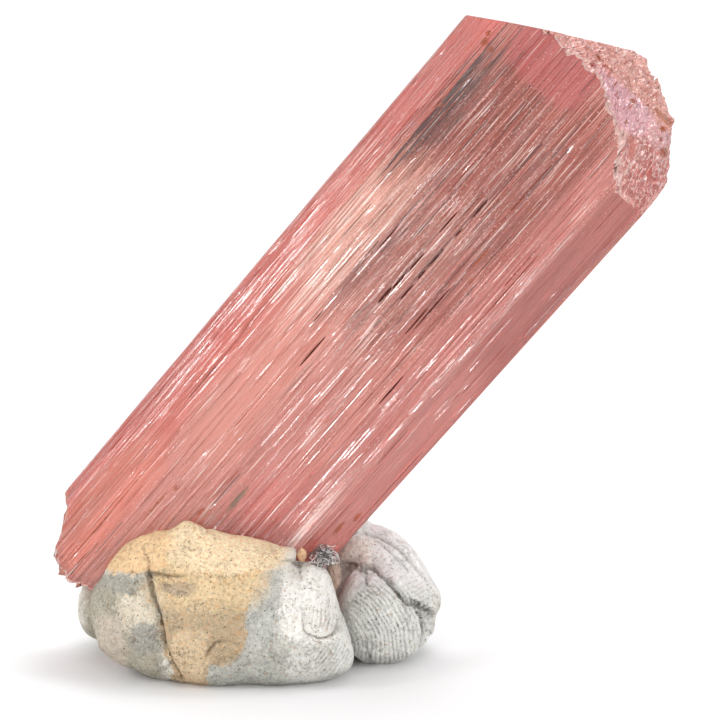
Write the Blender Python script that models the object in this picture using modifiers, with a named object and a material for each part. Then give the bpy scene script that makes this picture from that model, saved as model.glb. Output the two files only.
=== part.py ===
# A kunzite crystal standing in two squeezed wads of mineral tack, at real size.
# Metres, +Z up, +X to the right and -Y towards the viewer. The origin is on the
# ground at the middle of the object's box. Sizes below are in millimetres.

import math
import random

import bmesh
import bpy
from mathutils import Matrix, Vector, kdtree, noise

MM = 0.001
SEED = 41

# The crystal stands on its own +Z. Its X is the width, its Y the thickness.
CRYSTAL_FOOT = (-24.7, -1.0, 4.9)
LEAN_RIGHT = 41.0
TILT_BACK = 8.0
CRYSTAL_TOP = 80.0
CRYSTAL_BOTTOM = -3.0
TAPER_PER_MM = 0.0013
TAPER_HEIGHT = 40.0
RING_COUNT = 13

# Corners of the eight-sided section, front left corner first, seen from the tip
# and going round to the right. Each side has the number of growth ledges after it.
HALF_THICKNESS = 6.0
SECTION = (
    (-9.4, -HALF_THICKNESS, 19),
    (8.8, -HALF_THICKNESS, 3),
    (12.8, -2.4, 2),
    (12.8, 2.8, 3),
    (9.4, HALF_THICKNESS, 15),
    (-9.0, HALF_THICKNESS, 3),
    (-12.7, 2.6, 2),
    (-12.7, -2.6, 3),
)
LEDGE_DEPTH = 0.26
LEDGE_WALL = 0.05
LEDGE_WIDTHS = (0.35, 1.0)  # narrowest and widest, as shares, before they are squared
LEDGE_CHANGE = 0.14  # how much a ledge's depth can change from one ring to the next
LEDGE_CHANGE_CHANCE = 0.22

# The smooth face of the termination, and the planes of its etched side.
# A plane is its height at a point, and its rise per millimetre along X and Y.
SMOOTH_FACE = {"at": (-12.5, 0.0, 68.5), "normal": (-0.497, 0.04, 0.868)}
ETCHED_PLANES = (
    {"at": (1.9, 6.0, 76.8), "rise": (0.02, 0.38)},
    {"at": (5.5, 6.0, 76.1), "rise": (-0.45, 0.54)},
    {"at": (9.1, 6.0, 75.0), "rise": (-1.05, 0.50)},
    {"at": (8.1, -6.0, 66.0), "rise": (-1.30, 1.55)},
)
ETCHED_RELIEF = 0.42
ETCHED_CELL = 0.85
SHINGLES_PER_MM = (0.7, 0.5)
ETCHED_CRUMBS_PER_MM = 1.6

# Height of the broken foot across the width, and how rough it is.
FOOT_PROFILE = (
    (-13.5, 7.0),
    (-12.0, 5.8),
    (-11.0, 5.0),
    (-10.1, 3.2),
    (-9.0, 0.8),
    (-7.8, -0.1),
    (-6.2, -0.5),
    (-3.9, 0.3),
    (3.9, 5.4),
    (13.5, 11.3),
)
FOOT_RELIEF = 0.35
FOOT_CELL = 1.05
FOOT_EDGE_RISE = 0.05  # how much higher the foot is, per millimetre off its middle line
FOOT_CRUMBS_PER_MM = 0.9
NOISE_GAIN = 1.6  # noise seldom passes 0.6, and this brings it to about 1

# Blocks that cut the rough ends: half sizes across the crystal, and how far they pass its ends.
BLOCK_HALF_X = 17.0
BLOCK_HALF_Y = 9.0
PAST_TOP = 12.0
PAST_BOTTOM = 6.0
SMOOTH_BLOCK_SIZE = 60.0

# Etched channels on the front and back faces: X, height and half length.
CHANNEL_WIDTH = 0.24
CHANNEL_DEPTH = 0.5
CHANNEL_SINK = 0.1
CHANNEL_SIDES = 6
FRONT_CHANNELS = (
    (-0.9, 43.6, 3.4),
    (0.85, 46.8, 2.5),
    (0.9, 53.2, 2.3),
    (3.45, 43.4, 3.8),
    (5.6, 35.2, 2.0),
    (-2.9, 33.0, 2.1),
)
BACK_CHANNELS = (
    (-4.2, 51.0, 3.6),
    (1.5, 38.5, 4.2),
    (4.6, 58.0, 2.8),
    (-1.8, 29.0, 2.4),
)

# The two wads of tack. A lobe is its centre, radii and turn about Y in degrees, and a press is
# the centre and radius of the ball that dents the tack, as a thumb does. A crease has the points
# that it runs near, its half width and its depth. Faces is about how many a wad has.
FRONT_WAD = {
    "lobes": (
        ((-14.6, -7.4, 6.7), (13.1, 6.3, 7.7), 0.0),
        ((-20.4, -7.8, 9.4), (6.2, 4.8, 5.8), -28.0),
        ((-17.8, -8.8, 15.1), (1.4, 1.6, 1.4), 0.0),
        ((-23.4, -6.6, 6.2), (3.9, 5.2, 5.4), 10.0),
        ((-15.6, -9.6, 6.0), (6.4, 4.6, 7.2), -4.0),
        ((-8.6, -8.8, 4.6), (6.9, 5.0, 5.3), 6.0),
        ((-4.6, -6.6, 6.6), (3.5, 4.8, 6.4), 6.0),
        ((-16.0, -4.6, 2.2), (9.5, 4.0, 3.0), 0.0),
    ),
    "presses": (
        ((-22.6, -19.6, 11.6), 8.0),
        ((-8.4, -21.4, 11.0), 8.2),
    ),
    "creases": (
        {
            "path": (
                (-20.3, -12.6, 9.6),
                (-20.7, -13.2, 7.4),
                (-20.2, -13.8, 4.4),
                (-18.6, -13.4, 0.8),
            ),
            "width": 1.5,
            "depth": 1.1,
        },
        {
            "path": ((-21.9, -12.0, 12.6), (-20.9, -12.6, 10.4), (-19.3, -13.0, 10.0)),
            "width": 1.3,
            "depth": 1.3,
        },
        {
            "path": ((-16.0, -14.2, 1.8), (-14.9, -14.6, 3.4), (-12.2, -14.2, 3.5)),
            "width": 1.1,
            "depth": 0.7,
        },
        {
            "path": (
                (-6.4, -12.6, 8.2),
                (-6.3, -13.2, 5.4),
                (-3.8, -12.4, 4.6),
                (-2.6, -11.0, 6.6),
            ),
            "width": 1.1,
            "depth": 0.6,
        },
    ),
    "faces": 2500,
}
BACK_WAD = {
    "lobes": (
        ((1.7, -0.8, 4.5), (4.7, 5.2, 5.0), -4.0),
        ((-0.8, 4.2, 10.3), (3.6, 3.8, 2.8), 4.0),
        ((2.3, 4.0, 9.0), (3.2, 4.2, 3.0), 26.0),
        ((4.6, 3.6, 6.9), (2.3, 4.4, 2.9), 38.0),
        ((5.9, 3.0, 4.7), (1.9, 4.2, 3.1), 0.0),
        ((-4.8, 7.8, 5.6), (8.2, 6.1, 6.4), 8.0),
        ((-14.4, 8.6, 6.6), (8.4, 5.6, 7.4), -4.0),
        ((-21.6, 8.0, 5.8), (5.2, 5.0, 6.0), -14.0),
        ((-9.6, 8.8, 10.6), (3.6, 4.0, 2.6), 12.0),
        ((-27.1, 3.6, 4.4), (2.1, 4.2, 3.3), 0.0),
        ((-24.0, 5.0, 3.2), (4.0, 5.0, 3.6), 0.0),
        ((-10.0, 3.4, 1.8), (12.5, 6.0, 2.6), 0.0),
    ),
    "presses": (
        ((-15.4, 24.6, 8.4), 11.4),
        ((-5.6, 21.4, 3.4), 8.4),
        ((6.8, 14.6, 8.0), 6.6),
        ((-29.8, 17.6, 9.0), 9.4),
    ),
    "creases": (
        {
            "path": (
                (-0.8, -1.0, 9.0),
                (1.8, -2.0, 8.9),
                (4.0, -1.4, 7.2),
                (5.8, -0.4, 5.4),
                (6.9, 0.6, 3.6),
            ),
            "width": 1.4,
            "depth": 1.5,
        },
        {
            "path": (
                (-11.4, 12.0, 13.0),
                (-9.6, 13.4, 9.4),
                (-10.6, 14.0, 6.0),
                (-9.4, 13.0, 1.0),
            ),
            "width": 1.8,
            "depth": 1.5,
        },
        {
            "path": ((-9.9, 13.6, 8.2), (-6.6, 13.8, 8.9), (-3.2, 12.4, 9.6)),
            "width": 1.5,
            "depth": 1.0,
        },
        {
            "path": (
                (-23.0, 11.4, 10.4),
                (-20.2, 12.8, 7.6),
                (-20.8, 13.2, 4.2),
                (-19.4, 12.4, 1.0),
            ),
            "width": 1.7,
            "depth": 1.3,
        },
    ),
    "faces": 2700,
}
LOBE_GRAIN = 0.36
LOBE_SOFTENING = 9
RIM_SOFTENING = 5
SOFTENING_FACTOR = 0.5
WAD_GAP = 0.3
PARTING_ALLOWANCE = 0.15  # what the coarser parting cutter may lack of the front wad's shape
PARTING_FACES = 1600
SEAT_GAP = 0.32
SEAT_CELL = 2.6
GROUND_SIZE = 120.0

CRYSTAL_PINK = (0.86, 0.42, 0.38, 1.0)
TACK_WHITE = (0.76, 0.72, 0.63, 1.0)


def empty_the_scene():
    for obj in list(bpy.data.objects):
        bpy.data.objects.remove(obj, do_unlink=True)


def new_collection(name):
    collection = bpy.data.collections.new(name)
    bpy.context.scene.collection.children.link(collection)
    return collection


def plain_material(name, colour, roughness, transmission=0.0):
    material = bpy.data.materials.new(name)
    material.use_nodes = True
    shader = material.node_tree.nodes["Principled BSDF"]
    shader.inputs["Base Color"].default_value = colour
    shader.inputs["Roughness"].default_value = roughness
    shader.inputs["Metallic"].default_value = 0.0
    shader.inputs["Transmission Weight"].default_value = transmission
    material.diffuse_color = colour
    return material


def object_from(bm, name, collection, material=None):
    """Makes an object of the mesh, whose points are in millimetres until here."""
    bmesh.ops.recalc_face_normals(bm, faces=bm.faces)
    bm.transform(Matrix.Scale(MM, 4))
    mesh = bpy.data.meshes.new(name)
    bm.to_mesh(mesh)
    bm.free()
    obj = bpy.data.objects.new(name, mesh)
    collection.objects.link(obj)
    if material:
        mesh.materials.append(material)
    return obj


def as_cutter(obj):
    obj.hide_render = True
    obj.display_type = "WIRE"
    return obj


def cut(obj, cutter):
    boolean = obj.modifiers.new(cutter.name, "BOOLEAN")
    boolean.operation = "DIFFERENCE"
    boolean.solver = "EXACT"
    boolean.object = cutter


def crystal_pose():
    turn = Matrix.Rotation(math.radians(-TILT_BACK), 4, "X")
    lean = Matrix.Rotation(math.radians(LEAN_RIGHT), 4, "Y")
    return Matrix.Translation(Vector(CRYSTAL_FOOT) * MM) @ turn @ lean


# Growth ledges of the prism
def ledges_of_side(length, count, rng):
    """Start, end and the depths at each ring of the ledges along one side."""
    widths = [rng.uniform(*LEDGE_WIDTHS) ** 2 for _ in range(count)]
    scale = length / sum(widths)
    start = 0.0
    ledges = []
    for index, width in enumerate(widths):
        end = start + width * scale
        depth = 0.0 if index in (0, count - 1) else rng.uniform(0.0, LEDGE_DEPTH)
        depths = []
        for _ in range(RING_COUNT):
            if rng.random() < LEDGE_CHANGE_CHANCE:
                depth += rng.uniform(-LEDGE_CHANGE, LEDGE_CHANGE)
                depth = min(LEDGE_DEPTH, max(0.0, depth))
            depths.append(depth)
        ledges.append((start, end, depths))
        start = end
    return ledges


def section_rings(swell=0.0, stepped=True):
    """Rings of points up the prism. A swollen prism has no ledges."""
    rng = random.Random(SEED)
    heights = [
        CRYSTAL_BOTTOM + (CRYSTAL_TOP - CRYSTAL_BOTTOM) * ring / (RING_COUNT - 1)
        for ring in range(RING_COUNT)
    ]
    rings = [[] for _ in heights]
    for index, (x, y, ledge_count) in enumerate(SECTION):
        corner = Vector((x, y))
        following = SECTION[(index + 1) % len(SECTION)]
        side = Vector(following[:2]) - corner
        along = side.normalized()
        outward = Vector((along.y, -along.x))
        if not stepped:
            before = corner - Vector(SECTION[index - 1][:2])
            bisector = (outward + Vector((before.y, -before.x)).normalized()).normalized()
            spread = swell / bisector.dot(outward)
            for ring in rings:
                ring.append(corner + bisector * spread)
            continue
        for start, end, depths in ledges_of_side(side.length, ledge_count, rng):
            for ring, depth in zip(rings, depths):
                for distance in (start + LEDGE_WALL, end - LEDGE_WALL):
                    ring.append(corner + along * distance - outward * depth)
    for height, ring in zip(heights, rings):
        widening = 1.0 + TAPER_PER_MM * (height - TAPER_HEIGHT)
        ring[:] = [Vector((p.x * widening, p.y, height)) for p in ring]
    return rings


def extruded_through(bm, rings):
    """A closed loop of points, extruded from ring to ring and capped."""
    station = bm.verts.layers.int.new("station")
    foot = bmesh.ops.create_circle(bm, cap_ends=True, segments=len(rings[0]), radius=1)
    for index, vert in enumerate(foot["verts"]):
        vert[station] = index
        vert.co = rings[0][index]
    loop = list(bm.edges)
    for ring in rings[1:]:
        made = bmesh.ops.extrude_edge_only(bm, edges=loop)["geom"]
        for vert in (g for g in made if isinstance(g, bmesh.types.BMVert)):
            vert.co = ring[vert[station]]
        loop = [
            g
            for g in made
            if isinstance(g, bmesh.types.BMEdge) and len(g.link_faces) == 1
        ]
    bmesh.ops.edgeloop_fill(bm, edges=loop)


# Rough ends of the crystal
def plane_height(plane, x, y):
    rise_x, rise_y = plane["rise"]
    at_x, at_y, at_z = plane["at"]
    return at_z + rise_x * (x - at_x) + rise_y * (y - at_y)


def etched_height(x, y):
    smooth = min(plane_height(plane, x, y) for plane in ETCHED_PLANES)
    shingles_x, shingles_y = SHINGLES_PER_MM
    shingle = noise.cell(Vector((x * shingles_x, y * shingles_y, 3.1)))
    crumb = noise.noise(Vector((x * ETCHED_CRUMBS_PER_MM, y * ETCHED_CRUMBS_PER_MM, 9.7)))
    return smooth + ETCHED_RELIEF * (0.6 * shingle + 0.9 * crumb - 0.3)


def foot_height(x, y, relief=FOOT_RELIEF):
    inside = min(max(x, FOOT_PROFILE[0][0]), FOOT_PROFILE[-1][0])
    height = FOOT_PROFILE[-1][1]
    for (x0, z0), (x1, z1) in zip(FOOT_PROFILE, FOOT_PROFILE[1:]):
        if x0 <= inside <= x1:
            height = z0 + (z1 - z0) * (inside - x0) / (x1 - x0)
            break
    height += FOOT_EDGE_RISE * abs(y)
    crumb = noise.noise(Vector((x * FOOT_CRUMBS_PER_MM, y * FOOT_CRUMBS_PER_MM, 5.3)))
    return height + relief * NOISE_GAIN * crumb


def rough_block(name, height_at, cell, end, collection):
    """A block whose rough side follows height_at and whose far side is flat."""
    bm = bmesh.new()
    bmesh.ops.create_grid(
        bm,
        x_segments=round(2 * BLOCK_HALF_X / cell),
        y_segments=round(2 * BLOCK_HALF_Y / cell),
        size=1.0,
        matrix=Matrix.Diagonal((BLOCK_HALF_X, BLOCK_HALF_Y, 1.0, 1.0)),
    )
    for vert in bm.verts:
        vert.co.z = height_at(vert.co.x, vert.co.y)
    made = bmesh.ops.extrude_face_region(bm, geom=list(bm.faces))["geom"]
    for vert in (g for g in made if isinstance(g, bmesh.types.BMVert)):
        vert.co.z = end
    return as_cutter(object_from(bm, name, collection))


def smooth_face_block(collection):
    """A box whose underside is the smooth face of the termination."""
    bm = bmesh.new()
    above = Matrix.Translation((0.0, 0.0, SMOOTH_BLOCK_SIZE / 2))
    bmesh.ops.create_cube(bm, size=SMOOTH_BLOCK_SIZE, matrix=above)
    up = Vector(SMOOTH_FACE["normal"]).normalized()
    bm.transform(up.to_track_quat("Z", "Y").to_matrix().to_4x4())
    bmesh.ops.translate(bm, verts=bm.verts, vec=SMOOTH_FACE["at"])
    return as_cutter(object_from(bm, "smooth_face_cutter", collection))


def channel_cutters(collection):
    """Long thin scoops in the broad faces."""
    bm = bmesh.new()
    faces = (
        (FRONT_CHANNELS, -HALF_THICKNESS + CHANNEL_SINK),
        (BACK_CHANNELS, HALF_THICKNESS - CHANNEL_SINK),
    )
    for channels, y in faces:
        for x, height, half_length in channels:
            place = Matrix.Translation((x, y, height))
            radii = Matrix.Diagonal((CHANNEL_WIDTH, CHANNEL_DEPTH, half_length, 1.0))
            bmesh.ops.create_uvsphere(
                bm,
                u_segments=CHANNEL_SIDES,
                v_segments=CHANNEL_SIDES,
                radius=1.0,
                matrix=place @ radii,
            )
    return as_cutter(object_from(bm, "channel_cutters", collection))


def build_crystal(parts, cutters):
    bm = bmesh.new()
    extruded_through(bm, section_rings())
    pink = plain_material("Kunzite", CRYSTAL_PINK, 0.12, transmission=0.8)
    crystal = object_from(bm, "kunzite_crystal", parts, pink)
    etched = rough_block(
        "etched_face_cutter", etched_height, ETCHED_CELL, CRYSTAL_TOP + PAST_TOP, cutters
    )
    foot = rough_block(
        "foot_cutter", foot_height, FOOT_CELL, CRYSTAL_BOTTOM - PAST_BOTTOM, cutters
    )
    smooth = smooth_face_block(cutters)
    channels = channel_cutters(cutters)
    for cutter in (smooth, etched, foot, channels):
        cut(crystal, cutter)
        cutter.matrix_world = crystal_pose()
    crystal.matrix_world = crystal_pose()


def build_seat(cutters):
    """The plain swollen prism that both wads are hollowed by."""
    bm = bmesh.new()
    extruded_through(bm, section_rings(swell=SEAT_GAP, stepped=False))
    seat = as_cutter(object_from(bm, "seat_cutter", cutters))
    under = rough_block(
        "seat_foot_cutter",
        lambda x, y: foot_height(x, y, relief=0.0) - FOOT_RELIEF - SEAT_GAP,
        SEAT_CELL,
        CRYSTAL_BOTTOM - PAST_BOTTOM,
        cutters,
    )
    cut(seat, under)
    under.matrix_world = crystal_pose()
    seat.matrix_world = crystal_pose()
    return seat


# Wads of tack
def melted_lobes(name, lobes, swell):
    """The mesh of overlapping ellipsoids melted into one lump."""
    bm = bmesh.new()
    for centre, radii, turn in lobes:
        size = Matrix.Diagonal((*(radius + swell for radius in radii), 1.0))
        roll = Matrix.Rotation(math.radians(turn), 4, "Y")
        place = Matrix.Translation(centre)
        bmesh.ops.create_icosphere(
            bm, subdivisions=4, radius=1.0, matrix=place @ roll @ size
        )
    lobe_mesh = bpy.data.meshes.new(name)
    bm.to_mesh(lobe_mesh)
    bm.free()
    lump = bpy.data.objects.new(name, lobe_mesh)
    bpy.context.scene.collection.objects.link(lump)
    melt = lump.modifiers.new("melt", "REMESH")
    melt.mode = "VOXEL"
    melt.voxel_size = LOBE_GRAIN
    soften = lump.modifiers.new("soften", "SMOOTH")
    soften.factor = SOFTENING_FACTOR
    soften.iterations = LOBE_SOFTENING
    graph = bpy.context.evaluated_depsgraph_get()
    melted = bpy.data.meshes.new_from_object(lump.evaluated_get(graph))
    bpy.data.objects.remove(lump, do_unlink=True)
    return melted


def distance_to_path(point, path):
    nearest = math.inf
    for start, end in zip(path, path[1:]):
        run = end - start
        share = min(1.0, max(0.0, (point - start).dot(run) / run.length_squared))
        nearest = min(nearest, (point - start - run * share).length)
    return nearest


def press_with_balls(bm, presses):
    for centre, radius in presses:
        middle = Vector(centre)
        for vert in bm.verts:
            offset = vert.co - middle
            if offset.length < radius:
                vert.co = middle + offset.normalized() * radius


def fold_along(bm, creases):
    """Sinks the surface in a soft V along each path, which is first laid on it."""
    surface = kdtree.KDTree(len(bm.verts))
    for index, vert in enumerate(bm.verts):
        surface.insert(vert.co, index)
    surface.balance()
    for crease in creases:
        path = [surface.find(point)[0] for point in crease["path"]]
        for vert in bm.verts:
            share = distance_to_path(vert.co, path) / crease["width"]
            if share < 1.0:
                vert.co -= vert.normal * crease["depth"] * (1.0 - share) ** 1.5


def build_wad(name, wad, collection, material=None, swell=0.0):
    """One squeezed wad, brought down to about its number of faces."""
    melted = melted_lobes(name, wad["lobes"], swell)
    bm = bmesh.new()
    bm.from_mesh(melted)
    bpy.data.meshes.remove(melted)
    press_with_balls(bm, [(centre, radius - swell) for centre, radius in wad["presses"]])
    for _ in range(RIM_SOFTENING):
        bmesh.ops.smooth_vert(
            bm,
            verts=bm.verts,
            factor=SOFTENING_FACTOR,
            use_axis_x=True,
            use_axis_y=True,
            use_axis_z=True,
        )
    bm.normal_update()
    fold_along(bm, wad["creases"])
    bmesh.ops.triangulate(bm, faces=bm.faces)
    share = wad["faces"] / len(bm.faces)
    lump = object_from(bm, name, collection, material)
    thin = lump.modifiers.new("thin", "DECIMATE")
    thin.ratio = share
    return lump


def ground_cutter(cutters):
    bm = bmesh.new()
    below = Matrix.Translation((0.0, 0.0, -GROUND_SIZE / 2))
    bmesh.ops.create_cube(bm, size=GROUND_SIZE, matrix=below)
    return as_cutter(object_from(bm, "ground_cutter", cutters))


def build_wads(parts, cutters, seat):
    tack = plain_material("Mineral tack", TACK_WHITE, 0.75)
    ground = ground_cutter(cutters)
    front = build_wad("front_tack_wad", FRONT_WAD, parts, tack)
    back = build_wad("back_tack_wad", BACK_WAD, parts, tack)
    swollen = {**FRONT_WAD, "creases": (), "faces": PARTING_FACES}
    swell = WAD_GAP + PARTING_ALLOWANCE
    parting = build_wad("parting_cutter", swollen, cutters, swell=swell)
    as_cutter(parting)
    for wad in (front, back):
        cut(wad, ground)
        cut(wad, seat)
    cut(back, parting)


def centre_over_origin(parts, cutters):
    """Moves everything level, so that the origin is under the middle of the box."""
    graph = bpy.context.evaluated_depsgraph_get()
    low = Vector((math.inf, math.inf))
    high = Vector((-math.inf, -math.inf))
    for obj in parts.objects:
        evaluated = obj.evaluated_get(graph)
        shape = bpy.data.meshes.new_from_object(evaluated)
        shape.transform(evaluated.matrix_world)
        for vert in shape.vertices:
            for axis in (0, 1):
                low[axis] = min(low[axis], vert.co[axis])
                high[axis] = max(high[axis], vert.co[axis])
        bpy.data.meshes.remove(shape)
    middle = (low + high) / 2
    shift = Matrix.Translation((-middle.x, -middle.y, 0.0))
    for obj in [*parts.objects, *cutters.objects]:
        obj.matrix_world = shift @ obj.matrix_world
    print(f"moved by {-middle.x / MM:.3f}, {-middle.y / MM:.3f} mm to the middle")


def main():
    empty_the_scene()
    parts = new_collection("Kunzite crystal in mineral tack")
    cutters = new_collection("Cutters")
    build_crystal(parts, cutters)
    seat = build_seat(cutters)
    build_wads(parts, cutters, seat)
    centre_over_origin(parts, cutters)


main()
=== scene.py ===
# A kunzite crystal in two squeezed wads of mineral tack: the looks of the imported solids.
# Places and sizes are in millimetres until a mesh is finished, then in metres.

import math
import random
from contextlib import contextmanager

import bpy
import numpy as np
from mathutils import Euler, Matrix, Vector, kdtree, noise


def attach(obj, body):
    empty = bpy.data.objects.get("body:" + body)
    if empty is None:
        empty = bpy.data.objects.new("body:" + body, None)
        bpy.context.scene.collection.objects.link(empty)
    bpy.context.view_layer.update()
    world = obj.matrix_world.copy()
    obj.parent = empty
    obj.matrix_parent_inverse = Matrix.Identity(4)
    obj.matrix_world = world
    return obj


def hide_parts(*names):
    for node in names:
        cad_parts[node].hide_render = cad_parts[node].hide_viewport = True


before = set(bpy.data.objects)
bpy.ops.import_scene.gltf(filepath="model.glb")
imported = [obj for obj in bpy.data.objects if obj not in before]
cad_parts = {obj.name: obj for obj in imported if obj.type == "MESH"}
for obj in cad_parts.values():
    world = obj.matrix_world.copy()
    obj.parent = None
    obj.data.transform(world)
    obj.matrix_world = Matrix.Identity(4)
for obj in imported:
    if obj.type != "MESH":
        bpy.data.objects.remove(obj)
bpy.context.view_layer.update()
bpy.ops.object.select_all(action="DESELECT")
mm = 0.001
middle = Vector((-0.147, 0.112, 0.0))  # how far the solids were moved to stand over the origin


# General modelling steps
def activate(piece):
    bpy.ops.object.select_all(action="DESELECT")
    piece.select_set(True)
    bpy.context.view_layer.objects.active = piece


def applyModifier(piece, kind, **settings):
    activate(piece)
    modifier = piece.modifiers.new(kind.lower(), kind)
    for name, value in settings.items():
        setattr(modifier, name, value)
    bpy.ops.object.modifier_apply(modifier=modifier.name)


def pointsOf(piece, kind="co"):
    points = np.empty(len(piece.data.vertices) * 3)
    piece.data.vertices.foreach_get(kind, points)
    return points.reshape(-1, 3)


def setPoints(piece, points):
    piece.data.vertices.foreach_set("co", np.ascontiguousarray(points).ravel())
    piece.data.update()


def settle():
    bpy.ops.object.transform_apply(location=True, rotation=True, scale=True)
    return bpy.context.object


def joinAll(pieces):
    activate(pieces[0])
    for piece in pieces:
        piece.select_set(True)
    bpy.ops.object.join()
    return settle()


@contextmanager
def editing(action="SELECT"):
    bpy.ops.object.mode_set(mode="EDIT")
    bpy.ops.mesh.select_all(action=action)
    yield
    bpy.ops.object.mode_set(mode="OBJECT")


def extrudeUp():
    bpy.ops.mesh.extrude_region_move(TRANSFORM_OT_translate={"value": (0, 0, 1.0)})


def turnOutward(piece):
    activate(piece)
    with editing():
        bpy.ops.mesh.normals_make_consistent(inside=False)
    return piece


def toMetres(piece, pose=Matrix.Translation(middle)):
    piece.data.transform(Matrix.Scale(mm, 4) @ pose)


def dented(piece, size, strength):
    clouds = bpy.data.textures.new("Dents", "CLOUDS")
    clouds.noise_scale = size
    applyModifier(piece, "DISPLACE", texture=clouds, strength=strength, mid_level=0.5)
    bpy.data.textures.remove(clouds)


def cutAway(piece, cutter, keep=False):
    applyModifier(piece, "BOOLEAN", operation="DIFFERENCE", solver="MANIFOLD", object=cutter)
    if not keep:
        bpy.data.objects.remove(cutter, do_unlink=True)


def finishPiece(piece, name, material, smoothAngle=None):
    piece.name = name
    piece.data.name = name
    piece.data.materials.clear()
    piece.data.materials.append(material)
    activate(piece)
    if smoothAngle is None:
        bpy.ops.object.shade_flat()
    else:
        bpy.ops.object.shade_smooth_by_angle(angle=math.radians(smoothAngle))
    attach(piece, "root")
    print(f"{name}: {len(piece.data.vertices)} points, {len(piece.data.polygons)} faces")


# Crystal: the same prism as the solid's, with fine growth ledges on top of its broad ones
crystal = {
    "foot": (-24.7, -1.0, 4.9),
    "leanRight": 41.0,
    "tiltBack": 8.0,
    "bottom": -3.0,
    "top": 80.0,
    "taperPerMm": 0.0013,
    "taperHeight": 40.0,
    # corners of the section: x, y, broad ledges and fine ledges of the side that follows
    "section": (
        (-9.4, -6.0, 19, 150),
        (8.8, -6.0, 3, 42),
        (12.8, -2.4, 2, 26),
        (12.8, 2.8, 3, 24),
        (9.4, 6.0, 15, 90),
        (-9.0, 6.0, 3, 24),
        (-12.7, 2.6, 2, 26),
        (-12.7, -2.6, 3, 46),
    ),
    # ledges: seed, rings, the spread of their widths and their greatest depth. A broad one changes its
    # depth at some rings by up to a step. A fine one keeps it for a run of rings, and a few are deeper.
    "broadSeed": 41,
    "broadRings": 13,
    "broadWidths": (0.35, 1.0),
    "broadDepth": 0.26,
    "broadChange": 0.22,
    "broadStep": 0.14,
    "broadShare": 0.45,
    "fineSeed": 7,
    "fineRings": 92,
    "fineWidths": (0.3, 1.0),
    "fineDepth": 0.045,
    "fineRun": 5.0,
    "deeperShare": 0.06,
    "deeperBy": 1.6,
    "fineTilt": 0.07,
    "fineWall": 0.02,
    "smoothFace": {"at": (-12.5, 0.0, 68.5), "normal": (-0.497, 0.04, 0.868)},
    # a point of each plane of the etched face, and its rise along x and y
    "etchedPlanes": (
        ((1.9, 6.0, 76.8), (0.02, 0.38)),
        ((5.5, 6.0, 76.1), (-0.45, 0.54)),
        ((9.1, 6.0, 75.0), (-1.05, 0.50)),
        ((8.1, -6.0, 66.0), (-1.30, 1.55)),
    ),
    "etchedRelief": 0.42,
    # little plates of the rough ends: size, tilt and seed at the tip and at the foot, then the field
    # they fill, their length as a share of their width, and their lift as a share of their size
    "tipPlates": (0.55, 0.42, 5),
    "footPlates": (0.7, 0.4, 9),
    "plateField": (36, 20),
    "plateLength": 0.6,
    "plateLift": 0.22,
    "footProfile": (
        (-13.5, 7.0), (-12.0, 5.8), (-11.0, 5.0), (-10.1, 3.2), (-9.0, 0.8), (-7.8, -0.1),
        (-6.2, -0.5), (-3.9, 0.3), (3.9, 5.4), (13.5, 11.3),
    ),
    "footRelief": 0.35,
    "roughCell": 0.19,
    "roughHalf": (17.0, 9.0),
    # etched channels: x, height, half length, half width, on the front and on the back
    "frontChannels": (
        (-0.96, 44.1, 1.5, 0.13), (-0.9, 46.2, 1.6, 0.10), (-1.1, 42.0, 1.3, 0.16),
        (-1.1, 51.6, 1.5, 0.09), (0.32, 43.6, 1.2, 0.11), (0.30, 45.9, 0.9, 0.10),
        (0.28, 48.0, 1.5, 0.12), (0.33, 51.4, 0.7, 0.09), (0.36, 54.6, 1.6, 0.12),
        (2.95, 42.0, 1.9, 0.08), (3.3, 43.9, 2.9, 0.09), (-4.6, 46.6, 1.6, 0.07),
        (-4.75, 36.0, 0.9, 0.06), (5.6, 35.2, 2.0, 0.10), (-2.9, 33.0, 2.1, 0.10),
    ),
    "backChannels": (
        (-4.2, 51.0, 3.6, 0.24), (1.5, 38.5, 4.2, 0.24), (4.6, 58.0, 2.8, 0.24),
        (-1.8, 29.0, 2.4, 0.24),
    ),
    "channelDepth": 0.5,
}


def crystalPose():
    turn = Matrix.Rotation(math.radians(-crystal["tiltBack"]), 4, "X")
    lean = Matrix.Rotation(math.radians(crystal["leanRight"]), 4, "Y")
    return Matrix.Translation(Vector(crystal["foot"]) + middle) @ turn @ lean


def broadLedges(length, count, rng):
    # start, end and depth at each broad ring of the ledges along one side
    deepest, step = crystal["broadDepth"], crystal["broadStep"]
    widths = [rng.uniform(*crystal["broadWidths"]) ** 2 for _ in range(count)]
    scale = length / sum(widths)
    start = 0.0
    ledges = []
    for index, width in enumerate(widths):
        end = start + width * scale
        depth = 0.0 if index in (0, count - 1) else rng.uniform(0.0, deepest)
        depths = []
        for _ in range(crystal["broadRings"]):
            if rng.random() < crystal["broadChange"]:
                depth = min(deepest, max(0.0, depth + rng.uniform(-step, step)))
            depths.append(depth)
        ledges.append((start, end, depths))
        start = end
    return ledges


def fineRun(rng, ringCount, depth):
    # a fine ledge keeps its depth for some rings, then steps to another
    values = np.zeros(ringCount)
    ring = 0
    while ring < ringCount:
        run = 1 + int(rng.expovariate(1 / crystal["fineRun"]))
        values[ring : ring + run] = depth * rng.random() ** 1.6
        if rng.random() < crystal["deeperShare"]:
            values[ring : ring + run] += depth * crystal["deeperBy"]
        ring += run
    return values


def wideningAt(height):
    return 1.0 + crystal["taperPerMm"] * (height - crystal["taperHeight"])


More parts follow.
